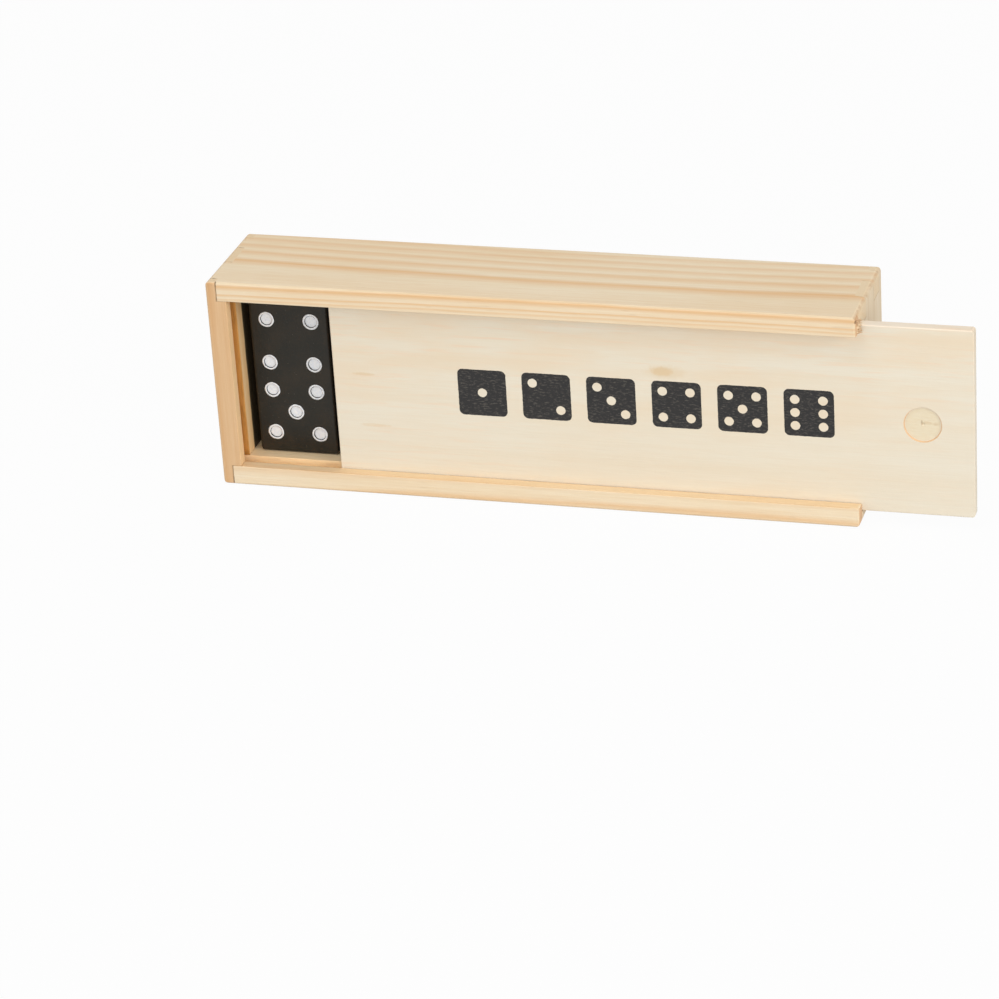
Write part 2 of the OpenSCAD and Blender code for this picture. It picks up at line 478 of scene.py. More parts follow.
def painted_gap_shade(net, colour, place, raw, from_front, amount):
    """Painted shade of the narrow gap beside the tiles, black on the inside faces, with ragged borders and
    weaker towards the back.
    """
    shade_noise = net.noise(net.stretch(place, (1, 1, 0.3)), scale=0.5, detail=3)
    behind_tiles = from_front + shade_noise * 0.8
    gap_shade = net.remap(behind_tiles, TILE_FACE, TILE_FACE + 0.8) * raw
    ragged = from_front + shade_noise * 9
    faded = net.remap(ragged, TILE_FACE + 11, TILE_FACE + 17, 1, 0.15)
    return net.mix(gap_shade * faded, colour, GAP_SHADE_BLACK, amount)


def end_tones(net, colour, turn, place, behind_lip):
    """Tan end grain with pores, the torn end of the lip, and uneven painted shade on the rounded corners of
    the frame.
    """
    normal = net.out("ShaderNodeTexCoord", output="Normal")
    facing = abs(net.vector("DOT_PRODUCT", normal, GRAIN_AXIS[turn], output="Value"))
    end_grain = net.remap(facing, 0.6, 0.95)
    colour = net.mix(end_grain, colour, END_GRAIN, END_SHARE)
    lip_end = net.math("MAXIMUM", end_grain - behind_lip, 0)
    colour = net.mix(lip_end, colour, LIP_END, LIP_SHARE[turn])
    pores = net.noise(place, scale=2.6, detail=3, roughness=0.7)
    pores = end_grain * net.remap(pores, 0.45, 0.7, 0, 0.35)
    colour = net.tint(pores, colour, PORE_TONE)
    # Painted shade where the frame's corners round over, made uneven by noise
    x, _, z = net.parts(normal)
    rounded = net.math("MINIMUM", abs(x), abs(z))
    uneven_shade = net.remap(net.noise(net.stretch(place, (1, 0.6, 1)), detail=3), 0.38, 0.62, 0.4, 1)
    return net.tint(uneven_shade * net.remap(rounded, 0.2, 0.6), colour, ROUND_CORNER_SHADE)


def frame_tones(net, colour, turn, inside_tint, groove_tone, gap_shade_amount=0):
    """Tones that depend on the place in the frame, and dark glue lines."""
    place = space_about(net, BOX_MIDDLE)
    edge = net.group(EDGE_GROUP, {"Position": place, "Half Size": BOX_HALF})
    from_front = net.parts(place)[1] + BOX_HALF.y
    behind_lip = net.remap(from_front, GROOVE_FRONT - 0.3, GROOVE_FRONT + 0.2)
    colour, raw = inside_tones(net, colour, turn, edge, inside_tint)
    colour = groove_tones(net, colour, turn, place, raw, behind_lip, from_front, groove_tone)
    # Painted shade in the dark gap beside the tiles
    colour = painted_gap_shade(net, colour, place, raw, from_front, gap_shade_amount)
    colour = end_tones(net, colour, turn, place, behind_lip)
    seam = net.out("ShaderNodeAttribute", output="Fac", attribute_name="seam")
    uneven = net.remap(net.noise(place, scale=0.45), 0.42, 0.58, 0.65, 1)
    return net.mix(seam, colour, SEAM_BROWN, uneven)


def finish_material(material, colour, height, strength, depth, roughness, specular):
    """Wire colour, roughness and a bump, whose depth is in mm, into a material's shader."""
    net, shader = Net(material.node_tree), material.node_tree.nodes["Principled BSDF"]
    bump = net.out("ShaderNodeBump", {"Height": height, "Strength": strength, "Distance": depth * MM})
    looks = {"Base Color": colour, "Roughness": roughness, "Specular IOR Level": specular, "Normal": bump}
    for name, value in looks.items():
        net.plug(shader.inputs[name], value)
    return material


def finish_wood(material, colour, relief, rough=(0.5, 0.68), depth=0.03):
    """Satin wood, rougher where its relief is high."""
    roughness = Net(material.node_tree).remap(relief, 0.2, 1.6, *rough)
    return finish_material(material, colour, relief, 0.6, depth, roughness, 0.3)


print("end grain, linear:", [round(c, 3) for c in END_GRAIN])

# %% [markdown]
# ## The four boards
# Each board has its own pith and its own list of rings. The top board follows the photograph ring by
# ring. The end boards stand upright, so their patterns are turned by a quarter.

# %% Board materials
TOP_RINGS = [(11.7, 0.8, 0.7), (12.9, 0.8, 0.95), (15.1, 1.6, 1.15), (19.9, 2.5, 1), (24, 2.6, 0.75),
             (27.8, 2.3, 0.65), (31.6, 2.6, 0.6), (35, 2.4, 0.55)]
BOTTOM_RINGS = [(16, 1.6, 0.5), (20.6, 1.9, 0.8), (24.6, 1.6, 0.6), (28.6, 1.8, 0.7), (32.2, 1.6, 0.5)]
END_RINGS = [(22.6, 1.6, 0.12), (26, 1.5, 0.45), (29.8, 1.8, 0.45), (33.4, 1.4, 0.6), (37.6, 1.8, 0.5),
             (41.4, 1.6, 0.4), (45.2, 1.6, 0.4)]

# Board: pith in mm, turn, rings, early wood, late wood, inside tints with their painted light and shade,
# swing of the pith, radius of the core
BOARDS = {
    "side_rail_top": ((-83.75, -13.5, 44), LYING, TOP_RINGS, EARLY_WOOD, LATE_WOOD, RAIL_INSIDE_TINTS, 3.3, 16.6),
    "side_rail_bottom": ((-70, 6, -17), LYING, BOTTOM_RINGS, EARLY_WOOD, LATE_WOOD, FLOOR_INSIDE_TINTS, 1.5, 0),
    "end_board_closed": ((-62, -22, 20), UPRIGHT, END_RINGS, srgb(225, 189, 147), srgb(212, 166, 117),
                         (*END_INSIDE_TINTS, GAP_SHADE_AMOUNT), 1, 0),
    "end_board_open": ((60, 24, 34), UPRIGHT, END_RINGS, srgb(238, 222, 195), srgb(224, 203, 170),
                       END_INSIDE_TINTS, 1, 0),
}


def spot_mask(net, centre, size, soft=0.35):
    """An oval spot with a ragged rim, 1 inside, seen from the front."""
    place = space_about(net, centre)
    x, y, z = net.parts(place)
    scaled = net.join(x / (size[0] / 2), net.math("MAXIMUM", y, 0), z / (size[1] / 2))
    ragged = (net.noise(place, scale=0.8, detail=3) - 0.5) * 0.9
    distance = net.length(scaled) + ragged
    return net.remap(distance, 1 - soft, 1 + soft, 1, 0)


# Nick at the right end of the upper lip: its place in the frame, its size and its colour
NICK_PLACE = Vector((BOX_HIGH.x + 0.1, BOX_LOW.y + 0.5, BOX_HIGH.z - 1.3))
NICK_SIZE, NICK_AMOUNT, NICK_BROWN = (1, 1), 0.7, srgb(120, 84, 50)


def make_board_material(node, pith, turn, rings, early, late, inside_tints, swing, core):
    material, net = new_material("pine_" + node)
    space = space_about(net, pith, turn)
    colour, relief = wood_layers(net, space, rings, early, late, swing, core=core)
    colour = frame_tones(net, colour, turn, *inside_tints)
    if node == "side_rail_top":
        colour = net.mix(spot_mask(net, NICK_PLACE, NICK_SIZE), colour, NICK_BROWN, NICK_AMOUNT)
    return finish_wood(material, colour, relief)


MATERIALS = {node: make_board_material(node, *cut) for node, cut in BOARDS.items()}
print("board materials:", sorted(MATERIALS))

# %% [markdown]
# ## The lid and the back panel
# The lid is a very pale wood with hardly any rings: it shows faint pinkish streaks, a small oval scar,
# and the torn fibres and scorched rim that a drill leaves in the thumb recess. The back panel is a thin
# sheet with a streaky face veneer.

# %% Lid material
LID_MIDDLE = (LID_LOW + LID_HIGH) / 2
LID_HALF = (LID_HIGH - LID_LOW) / 2
RECESS_PLACE = Vector((LID_HIGH.x - 13.6, LID_MIDDLE.y, LID_MIDDLE.z - 0.7))
# Factor that pushes the marks of the recess off the lid's back
FAR = 20
# Marks on the lid: from its left edge, above its middle, width, height, strength
LID_MARKS = [(91.7, 10.1, 5.6, 2.5, 0.7), (92.6, 10, 11, 3.6, 0.28), (8.8, 4, 6, 0.8, 0.5),
             (10.8, -11, 8, 0.9, 0.35)]
MARK_TONE = srgb(222, 194, 152)
LID_RINGS = [(80, 6, 0.3), (92, 5, 0.25), (101, 3, 0.35), (107, 2.5, 0.3), (112, 3, 0.4)]
LID_EARLY, LID_LATE = srgb(234, 225, 206), srgb(232, 216, 190)
BLUSH, PATCH = srgb(236, 212, 184), srgb(233, 213, 184)


def lid_face(net, place):
    """Whitewood with a pink blush at the upper left, patches and marks."""
    pith = LID_MIDDLE + Vector((-40, 60, -70))
    colour, relief = wood_layers(net, space_about(net, pith), LID_RINGS, LID_EARLY, LID_LATE,
                                 wander=3, fibre=(46, 1.6), strength=0.4)
    x, _, z = net.parts(place)
    streak = net.noise(net.stretch(place, (0.06, 0.5, 0.9)), detail=3, roughness=0.6)
    upper_left = net.remap(z, -10, 26, 0.15, 0.7) + net.remap(x, 0, -80, 0, 0.35)
    colour = net.mix(net.remap(streak, 0.5, 0.72), colour, BLUSH, upper_left)
    patches = net.noise(net.stretch(place, (0.03, 0.1, 0.12)), detail=3, roughness=0.55)
    colour = net.mix(net.remap(patches, 0.4, 0.66), colour, PATCH, net.remap(z, -16, 10, 0.15, 0.6))
    for along, above, width, height, amount in LID_MARKS:
        centre = Vector((LID_LOW.x + along, LID_MIDDLE.y, LID_MIDDLE.z + above))
        colour = net.mix(spot_mask(net, centre, (width, height)), colour, MARK_TONE, amount)
    return colour, relief


print("lid half size in mm:", [round(c, 1) for c in LID_HALF])


# %% Thumb recess and edges of the lid
SCORCH, RECESS_FLOOR, RECESS_FUZZ = srgb(226, 188, 144), srgb(232, 216, 179), srgb(226, 204, 166)
# Two marks in the recess: place and size in mm
FIBRES_PLACE, FIBRES_SIZE = RECESS_PLACE + Vector((1.9, 0, 0.3)), (4.2, 1.8)
TICK_PLACE, TICK_SIZE = RECESS_PLACE + Vector((-0.3, 0, 0.4)), (0.5, 1.5)
FIBRE_BROWN, TICK_BROWN = srgb(206, 178, 138), srgb(150, 118, 80)
# Painted highlight on the lid's edges, and painted light that lifts the lid's top edge face
EDGE_HIGHLIGHT_PAINT, TOP_EDGE_LIGHT_PAINT = srgb(243, 224, 196), (1.1, 1.06, 1.06, 1)


def thumb_recess(net, colour):
    """Scorched rim, torn floor and fibres of the drilled recess. Also gives the mask of the floor."""
    recess = space_about(net, RECESS_PLACE)
    x, y, z = net.parts(recess)
    behind = net.math("MAXIMUM", y, 0) * FAR
    radius = net.length(net.join(x, behind, z))
    rim = net.remap(radius, 4.68, 4.88) * net.remap(radius, 4.98, 5.12, 1, 0)
    low_side = net.remap(z - abs(x) * 0.6, 3.5, -0.5, 0.1, 0.95)
    colour = net.mix(rim, colour, SCORCH, low_side)
    torn = net.noise(net.stretch(recess, (0.35, 1, 1.6)), detail=3, roughness=0.7)
    inside = net.remap(radius, 4.4, 4.7, 1, 0)
    colour = net.mix(inside, colour, RECESS_FLOOR, 0.5)
    floor = inside * net.remap(torn, 0.42, 0.7)
    colour = net.mix(floor, colour, RECESS_FUZZ, 0.35)
    fibres = spot_mask(net, FIBRES_PLACE, FIBRES_SIZE) * net.remap(torn, 0.5, 0.58)
    colour = net.mix(fibres, colour, FIBRE_BROWN, 0.35)
    return net.mix(spot_mask(net, TICK_PLACE, TICK_SIZE), colour, TICK_BROWN, 0.45), floor


def make_lid_material():
    material, net = new_material("pale_lid_wood")
    place = space_about(net, LID_MIDDLE)
    colour, relief = lid_face(net, place)
    colour, floor = thumb_recess(net, colour)
    edge = net.group(EDGE_GROUP, {"Position": place, "Half Size": LID_HALF})["Distance"]
    # Painted highlight along the lid's edges
    colour = net.mix(net.remap(edge, 0.5, 0.1, 0, 0.15), colour, EDGE_HIGHLIGHT_PAINT)
    top_edge = net.remap(net.parts(place)[2], LID_HALF.z - 0.35, LID_HALF.z - 0.1)
    # Painted light on the lid's top edge face
    colour = net.tint(top_edge, colour, TOP_EDGE_LIGHT_PAINT)
    relief = relief + floor * 1.5
    return finish_wood(material, colour, relief, (0.52, 0.66), 0.02)


MATERIALS["sliding_lid"] = make_lid_material()
print("lid material:", MATERIALS["sliding_lid"].name)


# %% Back panel material
PANEL_PITH = (-20, 10, -42)
PANEL_RINGS = [(60, 2.5, 0.5), (66, 3, 0.7), (71.5, 2, 0.5), (77, 3, 0.7), (83, 2.5, 0.5)]


def make_panel_material():
    material, net = new_material("plywood_face")
    space = space_about(net, PANEL_PITH)
    colour, relief = wood_layers(net, space, PANEL_RINGS, srgb(232, 210, 174), srgb(212, 176, 130),
                                 swing=9, wander=6, fibre=(26, 1))
    return finish_wood(material, frame_tones(net, colour, LYING, *RAIL_INSIDE_TINTS), relief, depth=0.04)


MATERIALS["back_panel"] = make_panel_material()
print("panel material:", MATERIALS["back_panel"].name)

# %% [markdown]
# ## From CAD copies to sanded boards
# A perfectly sharp edge catches no light, and a joiner breaks every edge with sandpaper. So each wooden
# piece is a copy of its CAD mesh with its triangles merged and a tiny bevel on each edge, apart from a
# few finger ends where the joint has closed without a line. Faces that lie against a neighbouring board
# are marked in a seam attribute, which the pine darkens, so that a joint shows as a fine line.

# %% Copies with marked edges and seams
SHARP = math.radians(30)
FINGER_LENGTH, SEAM_REACH = 3, 0.2
SEAM_DARK, SEAM_FRONT, SEAM_FAINT = 1, 0.55, 0.12
# Distances in mm within which points are one
SAME_POINT, SAME_PLACE = 0.002, 0.01


def is_finger_tip(edge):
    """Whether an edge ends a finger on the top or the bottom, where the joint closed without a line."""
    start, end = (vertex.co / MM for vertex in edge.verts)
    across = abs(start.x - end.x) < SAME_PLACE and abs(start.z - end.z) < SAME_PLACE
    outside = min(abs(start.z - BOX_LOW.z), abs(start.z - BOX_HIGH.z)) < SAME_PLACE
    return across and outside and abs(abs(start.x) - (BOX_HIGH.x - FINGER_LENGTH)) < SAME_PLACE


def merged_copy(node):
    """A copy of a CAD node's mesh with its triangles joined into faces."""
    mesh = frame["nodes"][node].data.copy()
    work = bmesh.new()
    work.from_mesh(mesh)
    bmesh.ops.remove_doubles(work, verts=work.verts, dist=SAME_POINT * MM)
    bmesh.ops.dissolve_limit(work, angle_limit=math.radians(0.5), verts=work.verts, edges=work.edges)
    weights = work.edges.layers.float.new("bevel_weight_edge")
    for edge in work.edges:
        if edge.is_manifold and edge.calc_face_angle() > SHARP:
            edge[weights] = not is_finger_tip(edge)
    for face in work.faces:
        face.smooth = True
    work.to_mesh(mesh)
    work.free()
    return mesh


def seam_strength(polygon):
    """How dark a seam shows: dark along the fingers, weaker down the front, faint elsewhere."""
    upright = abs(polygon.normal.x) > 0.1
    if polygon.center.x > 0:
        return SEAM_FAINT
    if polygon.normal.y < -0.1:
        return SEAM_FRONT if upright else SEAM_FAINT
    return SEAM_FAINT if upright else SEAM_DARK


def mark_seams(mesh, neighbours):
    """Mark the faces that lie against a neighbouring board."""
    trees = [BVHTree.FromPolygons([v.co for v in other.vertices], [p.vertices for p in other.polygons])
             for other in neighbours]
    marks = mesh.attributes.new("seam", "FLOAT", "FACE")
    for polygon in mesh.polygons:
        near = any(tree.find_nearest(polygon.center, SEAM_REACH * MM)[0] is not None for tree in trees)
        marks.data[polygon.index].value = near * seam_strength(polygon)
    return sum(mark.value > 0 for mark in marks.data)


print("edges sharper than", round(math.degrees(SHARP)), "degrees get broken")


# %% Sanded copies of the wooden parts
SAME_SIDE = math.cos(math.radians(60))
# Widths of the broken edges in mm
BOARD_EDGE, LID_EDGE = 0.2, 0.12


def take_mesh(source):
    """The mesh that an object's modifiers make. The object itself is removed."""
    seen = source.evaluated_get(bpy.context.evaluated_depsgraph_get())
    mesh = bpy.data.meshes.new_from_object(seen)
    bpy.data.objects.remove(source)
    return mesh


def broken_edges(mesh, width):
    """The mesh with a narrow bevel on every weighted edge."""
    source = add_object("source", mesh)
    bevel = source.modifiers.new("edges", "BEVEL")
    bevel.width, bevel.segments = width, 2
    bevel.limit_method, bevel.use_clamp_overlap = "WEIGHT", False
    return take_mesh(source)


def ease_normals(mesh):
    """Lean the normal at each corner on the largest faces there, but never on one across a sharp edge."""
    faces_at = [[] for _ in mesh.vertices]
    for polygon in mesh.polygons:
        for index in polygon.vertices:
            faces_at[index].append(polygon)
    normals = []
    for polygon in mesh.polygons:
        for index in polygon.vertices:
            near = [face for face in faces_at[index] if face.normal.dot(polygon.normal) > SAME_SIDE]
            normals.append(sum((face.area * face.normal for face in near), Vector()).normalized())
    mesh.normals_split_custom_set(normals)


def sanded_piece(node, body, edge, neighbours=()):
    """A wooden piece in place of a CAD node, its edges broken, riding on its body."""
    mesh = broken_edges(merged_copy(node), edge * MM)
    low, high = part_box(node)
    for vertex in mesh.vertices:
        vertex.co = [min(max(c, least), most) for c, least, most in zip(vertex.co, low, high)]
    ease_normals(mesh)
    mesh.materials.clear()
    mesh.materials.append(MATERIALS[node])
    seams = mark_seams(mesh, [frame["nodes"][other].data for other in neighbours])
    piece = add_object("sanded_" + node, mesh)
    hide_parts(node)
    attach(piece, body)
    print(piece.name, len(mesh.polygons), "faces,", int(seams), "at seams")


FRAME_PARTS = FRAME_BOARDS + ["back_panel"]
for node in FRAME_PARTS:
    others = [other for other in FRAME_PARTS if other != node]
    sanded_piece(node, "box", BOARD_EDGE, others)
sanded_piece("sliding_lid", "lid", LID_EDGE)

# %% [markdown]
# ## Black painted tiles
# The tiles are blocks of wood in thick black paint. It is satin and slightly olive, shrinks into faint
# wrinkles, holds a little dust, and has rubbed off the arrises, where brown wood shows. Their CAD shape
# is right, so the CAD objects stay and only get their paint.

# %% Tile paint
PAINT, BROWN_PAINT = srgb(34, 32, 25), srgb(44, 38, 28)
DUST, BARE_WOOD = srgb(126, 120, 104), srgb(92, 60, 38)


def make_paint(tile):
    """Black paint for one tile, with its wear centred on that tile."""
    low, high = box_mm(tile)
    material, net = new_material("black_paint_" + tile)
    place = space_about(net, (low + high) / 2)
    tone = net.remap(net.noise(place, scale=0.16, detail=3), 0.35, 0.7)
    colour = net.mix(tone, PAINT, BROWN_PAINT)
    bits = net.out("ShaderNodeTexVoronoi", {"Vector": place, "Scale": 1.25, "Randomness": 1})
    chance = net.remap(net.noise(place, scale=0.9, detail=1), 0.5, 0.62)
    speck = net.remap(bits, 0.05, 0.12, 1, 0) * chance
    colour = net.mix(speck, colour, DUST, 0.75)
    edge = net.group(EDGE_GROUP, {"Position": place, "Half Size": (high - low) / 2})["Distance"]
    chips = net.remap(net.noise(place, scale=0.75, detail=4, roughness=0.65), 0.5, 0.62)
    wear = net.remap(edge, 0.12, 0.42, 1, 0) * chips
    colour = net.mix(wear, colour, BARE_WOOD, 0.8)
    wrinkle = {"Vector": place, "Scale": 0.32, "Detail": 2, "Distortion": 1.6}
    grit = net.noise(place, scale=3.4)
    height = net.out("ShaderNodeTexNoise", wrinkle) + grit * 0.22 + speck * 0.2
    return finish_material(material, colour, height, 0.7, 0.12, net.remap(grit, 0.3, 0.7, 0.4, 0.55), 0.32)


for tile in TILES:
    paint_slots = frame["nodes"][tile].data.materials
    paint_slots.clear()
    paint_slots.append(make_paint(tile))
print("painted", len(TILES), "tiles")

# %% [markdown]
# ## Geometry Nodes for what repeats
# Pips, print and splinters repeat many times. Each gets a geometry tree that is run on a mesh of points
# and leaves a plain mesh. Noise pushes its points about, as paint, ink and torn wood have ragged edges.

# %% Helpers for geometry trees
# Grain of a ragged edge, in metres
RAGGED_GRAIN = 0.0007


def new_shapes(name, values):
    """A geometry tree with an input for each value that it is run with."""
    return new_tree(name, {"Geometry": None, **values}, {"Geometry": None}, "GeometryNodeTree")


def seeded_push(net, seed, scale, detail, amounts):
    """An offset by noise, up to half of the given amounts either way."""
    place = net.out("GeometryNodeInputPosition")
    given = {"Vector": place, "W": seed, "Scale": scale, "Detail": detail}
    noise = net.out("ShaderNodeTexNoise", given, 1, noise_dimensions="4D")
    return net.stretch(net.vector("SUBTRACT", noise, (0.5, 0.5, 0.5)), amounts)


def ragged_solid(net, placed, given, coat):
    """Instances made real, their points pushed about in the plane of the face, with a material."""
    solid = net.shape("RealizeInstances", {"Geometry": placed})
    amounts = net.join(given["Raggedness"], 0, given["Raggedness"])
    push = seeded_push(net, given["Seed"], 1 / RAGGED_GRAIN, 1, amounts)
    solid = net.shape("SetPosition", {"Geometry": solid, "Offset": push})
    return net.shape("SetMaterial", {"Geometry": solid, "Material": given[coat]})


print("noise of ragged edges:", round(1 / RAGGED_GRAIN), "per metre")


# %% Running a tree on a mesh of points
def grow(name, points, tree, values, body):
    """Run a geometry tree on points and keep the plain mesh that it makes, riding on a body."""
    seeds = bpy.data.meshes.new(name + "_points")
    seeds.from_pydata(points, [], [])
    source = add_object("source", seeds)
    modifier = source.modifiers.new("grow", "NODES")
    modifier.node_group = tree
    sockets = {item.name: item.identifier for item in tree.interface.items_tree if item.in_out == "INPUT"}
    for label, value in values.items():
        modifier[sockets[label]] = value
    piece = add_object(name, take_mesh(source))
    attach(piece, body)
    print(name, len(piece.data.polygons), "faces")
    return piece


print("runner ready")

# %% [markdown]
# ## Torn fibres at the end of the upper lip
# A saw tears some fibres out of the end of soft pine. On the upper lip they still stand out at the right
# end. Each is a thin cone with few faces, which gets a length, a thickness and a slant of its own.

# %% Torn wood
TORN_DARK, TORN_LIGHT = srgb(198, 164, 126), srgb(238, 214, 178)


def make_torn_wood():
    material, net = new_material("torn_pine")
    place = space_about(net)
    tone = net.remap(net.noise(place, scale=0.9), 0.38, 0.62)
    colour = net.mix(tone, TORN_DARK, TORN_LIGHT)
    fine = net.noise(net.stretch(place, (0.5, 3, 3)))
    return finish_wood(material, colour, fine, (0.6, 0.75), 0.04)


SPLINTER_VALUES = {"Width": 0.34 * MM, "Shortest": 0.5, "Longest": 1.5, "Slant": math.radians(9), "Seed": 3,
                   "Raggedness": 0.1 * MM, "Wood": make_torn_wood()}
print("splinter values:", len(SPLINTER_VALUES))


# %% Splinter tree
STRAIGHT = (0, math.radians(90), 0)
# The cone that every splinter is scaled from, in metres
CONE_TIP, CONE_LENGTH = 0.00003, 0.001
THINNEST, THICKEST = 0.5, 1.3


def make_splinter_tree():
    """A tapering splinter at each point, which leaves along X."""
    net, given, result = new_shapes("torn fibres", SPLINTER_VALUES)
    cone = {"Vertices": 5, "Side Segments": 2, "Radius Top": CONE_TIP, "Radius Bottom": given["Width"],
            "Depth": CONE_LENGTH}
    cone = net.shape("MeshCone", cone, "Mesh")
    seed = given["Seed"]
    length = net.random_number(seed, given["Shortest"], given["Longest"])
    width = net.random_number(seed, THINNEST, THICKEST)
    lean = net.join(0, given["Slant"], given["Slant"])
    least, most = (net.vector(sign, STRAIGHT, lean) for sign in ("SUBTRACT", "ADD"))
    turn = net.out("FunctionNodeRandomValue", {"Seed": seed, 0: least, 1: most}, data_type="FLOAT_VECTOR")
    placed = net.shape("InstanceOnPoints", {
        "Points": given["Geometry"],
        "Instance": cone,
        "Rotation": turn,
        "Scale": net.join(width, width, length),
    })
    net.plug(result["Geometry"], ragged_solid(net, placed, given, "Wood"))
    return net.tree


SPLINTER_TREE = make_splinter_tree()
print("tree:", SPLINTER_TREE.name)


# %% The torn end
# Depth and height of the lip's end, and how far inside it the splinters start, in mm
LIP_DEPTH, BOARD_THICKNESS = 3.4, 5.5
SPLINTER_ROOT, SPLINTER_COUNT = 0.2, 40

dice = random.Random(11)
lip_corner = Vector((BOX_HIGH.x - SPLINTER_ROOT, BOX_LOW.y, BOX_HIGH.z))
splinters = []
for _ in range(SPLINTER_COUNT):
    inwards, down = dice.uniform(1.4, LIP_DEPTH - 0.4), dice.uniform(1.5, BOARD_THICKNESS - 0.2)
    splinters.append((lip_corner + Vector((0, inwards, -down))) * MM)
grow("torn_lip_fibres", splinters, SPLINTER_TREE, SPLINTER_VALUES, "box")

# %% [markdown]
# ## White pips
# A pip is a shallow drilled hole. White paint is dabbed on its floor, and the tool leaves a ragged ring
# of paint on the face around it, while the wall between them stays black. The tree puts a ring and a
# disc at each point. The points are found in the CAD mesh, at the holes' floors.

# %% Places of the pips
PIP_DEPTH, PIP_FLOOR_WIDTH, FACE_MARGIN = 0.5, 3.2, 1.2
SAME_HOLE = 1.05 * PIP_FLOOR_WIDTH


def pip_places(tile):
    """Middles of a tile's holes, in metres, from the rings of vertices on the holes' floors."""
    low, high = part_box(tile)
    margin = FACE_MARGIN * MM
    floor_y = low.y + PIP_DEPTH * MM
    rings = []
    for vertex in frame["nodes"][tile].data.vertices:
        x, y, z = vertex.co
        on_face = low.x + margin < x < high.x - margin and low.z + margin < z < high.z - margin
        if abs(y - floor_y) > SAME_PLACE * MM or not on_face:
            continue
        point = Vector((x, low.y, z))
        ring = next((ring for ring in rings if (ring[0] - point).length < SAME_HOLE * MM), None)
        if ring is None:
            rings.append([point])
        elif all((point - known).length > SAME_PLACE * MM for known in ring):
            ring.append(point)
    return [sum(ring, Vector()) / len(ring) for ring in rings]


PIPS = {tile: pip_places(tile) for tile in TILES}
for tile, places in PIPS.items():
    numbers = tile.split("_")[1:]
    assert len(places) == sum(int(number) for number in numbers), tile
print("pips found:", sum(len(places) for places in PIPS.values()))


# %% White paint
PIP_WHITE, PIP_BLUISH, PIP_GAP = srgb(252, 254, 255), srgb(238, 243, 252), srgb(150, 150, 152)


def make_white_paint():
    material, net = new_material("white_pip_paint")
    place = space_about(net)
    thin = net.remap(net.noise(place, scale=1.1, detail=3, roughness=0.65), 0.4, 0.72)
    colour = net.mix(thin, PIP_WHITE, PIP_BLUISH)
    gap = net.remap(net.noise(place, scale=2.6, roughness=0.6), 0.62, 0.74)
    colour = net.mix(gap, colour, PIP_GAP, 0.25)
    lumps = net.noise(place, scale=2.2)
    return finish_material(material, colour, lumps, 0.5, 0.08, net.remap(lumps, 0.3, 0.7, 0.45, 0.6), 0.5)


PIP_VALUES = {"Ring Inner Radius": 1.72 * MM, "Ring Width": 0.5 * MM, "Disc Radius": 1.6 * MM,
              "Hole Depth": PIP_DEPTH * MM, "Film": 0.04 * MM, "Pool": 0.2 * MM, "Raggedness": 0.3 * MM,
              "Seed": 0, "Paint": make_white_paint()}
print("pip values:", len(PIP_VALUES))


# %% Pip tree
RING_STEPS, DISC_STEPS = 26, 22
SMALLEST, LARGEST = 0.985, 1.03


def make_pip_tree():
    """A ring of paint on the face and a disc of paint on the floor at each point."""
    net, given, result = new_shapes("pip paint", PIP_VALUES)
    middle = given["Ring Inner Radius"] + given["Ring Width"] * 0.5
    loop = net.shape("CurvePrimitiveCircle", {"Resolution": RING_STEPS, "Radius": middle})
    section = {"Width": given["Ring Width"], "Height": given["Film"]}
    section = net.shape("CurvePrimitiveQuadrilateral", section)
    ring = net.shape("CurveToMesh", {"Curve": loop, "Profile Curve": section})
    disc = {"Vertices": DISC_STEPS, "Radius": given["Disc Radius"], "Depth": given["Pool"]}
    disc = net.shape("MeshCylinder", disc, "Mesh")
    above = given["Pool"] * 0.5
    sunk = net.join(0, 0, above - given["Hole Depth"])
    disc = net.shape("Transform", {"Geometry": disc, "Translation": sunk})
    dab = net.union(ring, disc)
    size = net.random_number(given["Seed"], SMALLEST, LARGEST)
    placed = net.shape("InstanceOnPoints", {
        "Points": given["Geometry"],
        "Instance": dab,
        "Rotation": (math.radians(90), 0, 0),
        "Scale": net.join(size, size, 1),
    })
    net.plug(result["Geometry"], ragged_solid(net, placed, given, "Paint"))
    return net.tree


PIP_TREE = make_pip_tree()
print("tree:", PIP_TREE.name)


# %% Pips on the tiles
for seed, body in enumerate(sorted({BODY_OF[tile] for tile in TILES})):
    places = [place for tile in TILES if BODY_OF[tile] == body for place in PIPS[tile]]
    name = "pip_paint_" + body.replace("tile_", "")
    grow(name, places, PIP_TREE, {**PIP_VALUES, "Seed": seed}, body)

# %% [markdown]
# ## The print on the lid
# The lid carries six plain squares with one to six round openings, like the faces of a die, stamped in
# thin black ink. The tree roughens their outlines, fills them with the holes left open and gives them
# the thickness of an ink film.

# %% Ink and sizes of the print
INK, THIN_INK = srgb(46, 45, 45), srgb(92, 88, 82)


def make_ink():
    material, net = new_material("black_print_ink")
    place = space_about(net)
    grain = net.noise(net.stretch(place, (0.35, 1, 1)), scale=2.4, detail=3, roughness=0.7)
    colour = net.mix(net.remap(grain, 0.5, 0.68, 0, 0.8), INK, THIN_INK)
    return finish_material(material, colour, grain, 0.5, 0.03, net.remap(grain, 0.3, 0.7, 0.6, 0.75), 0.25)


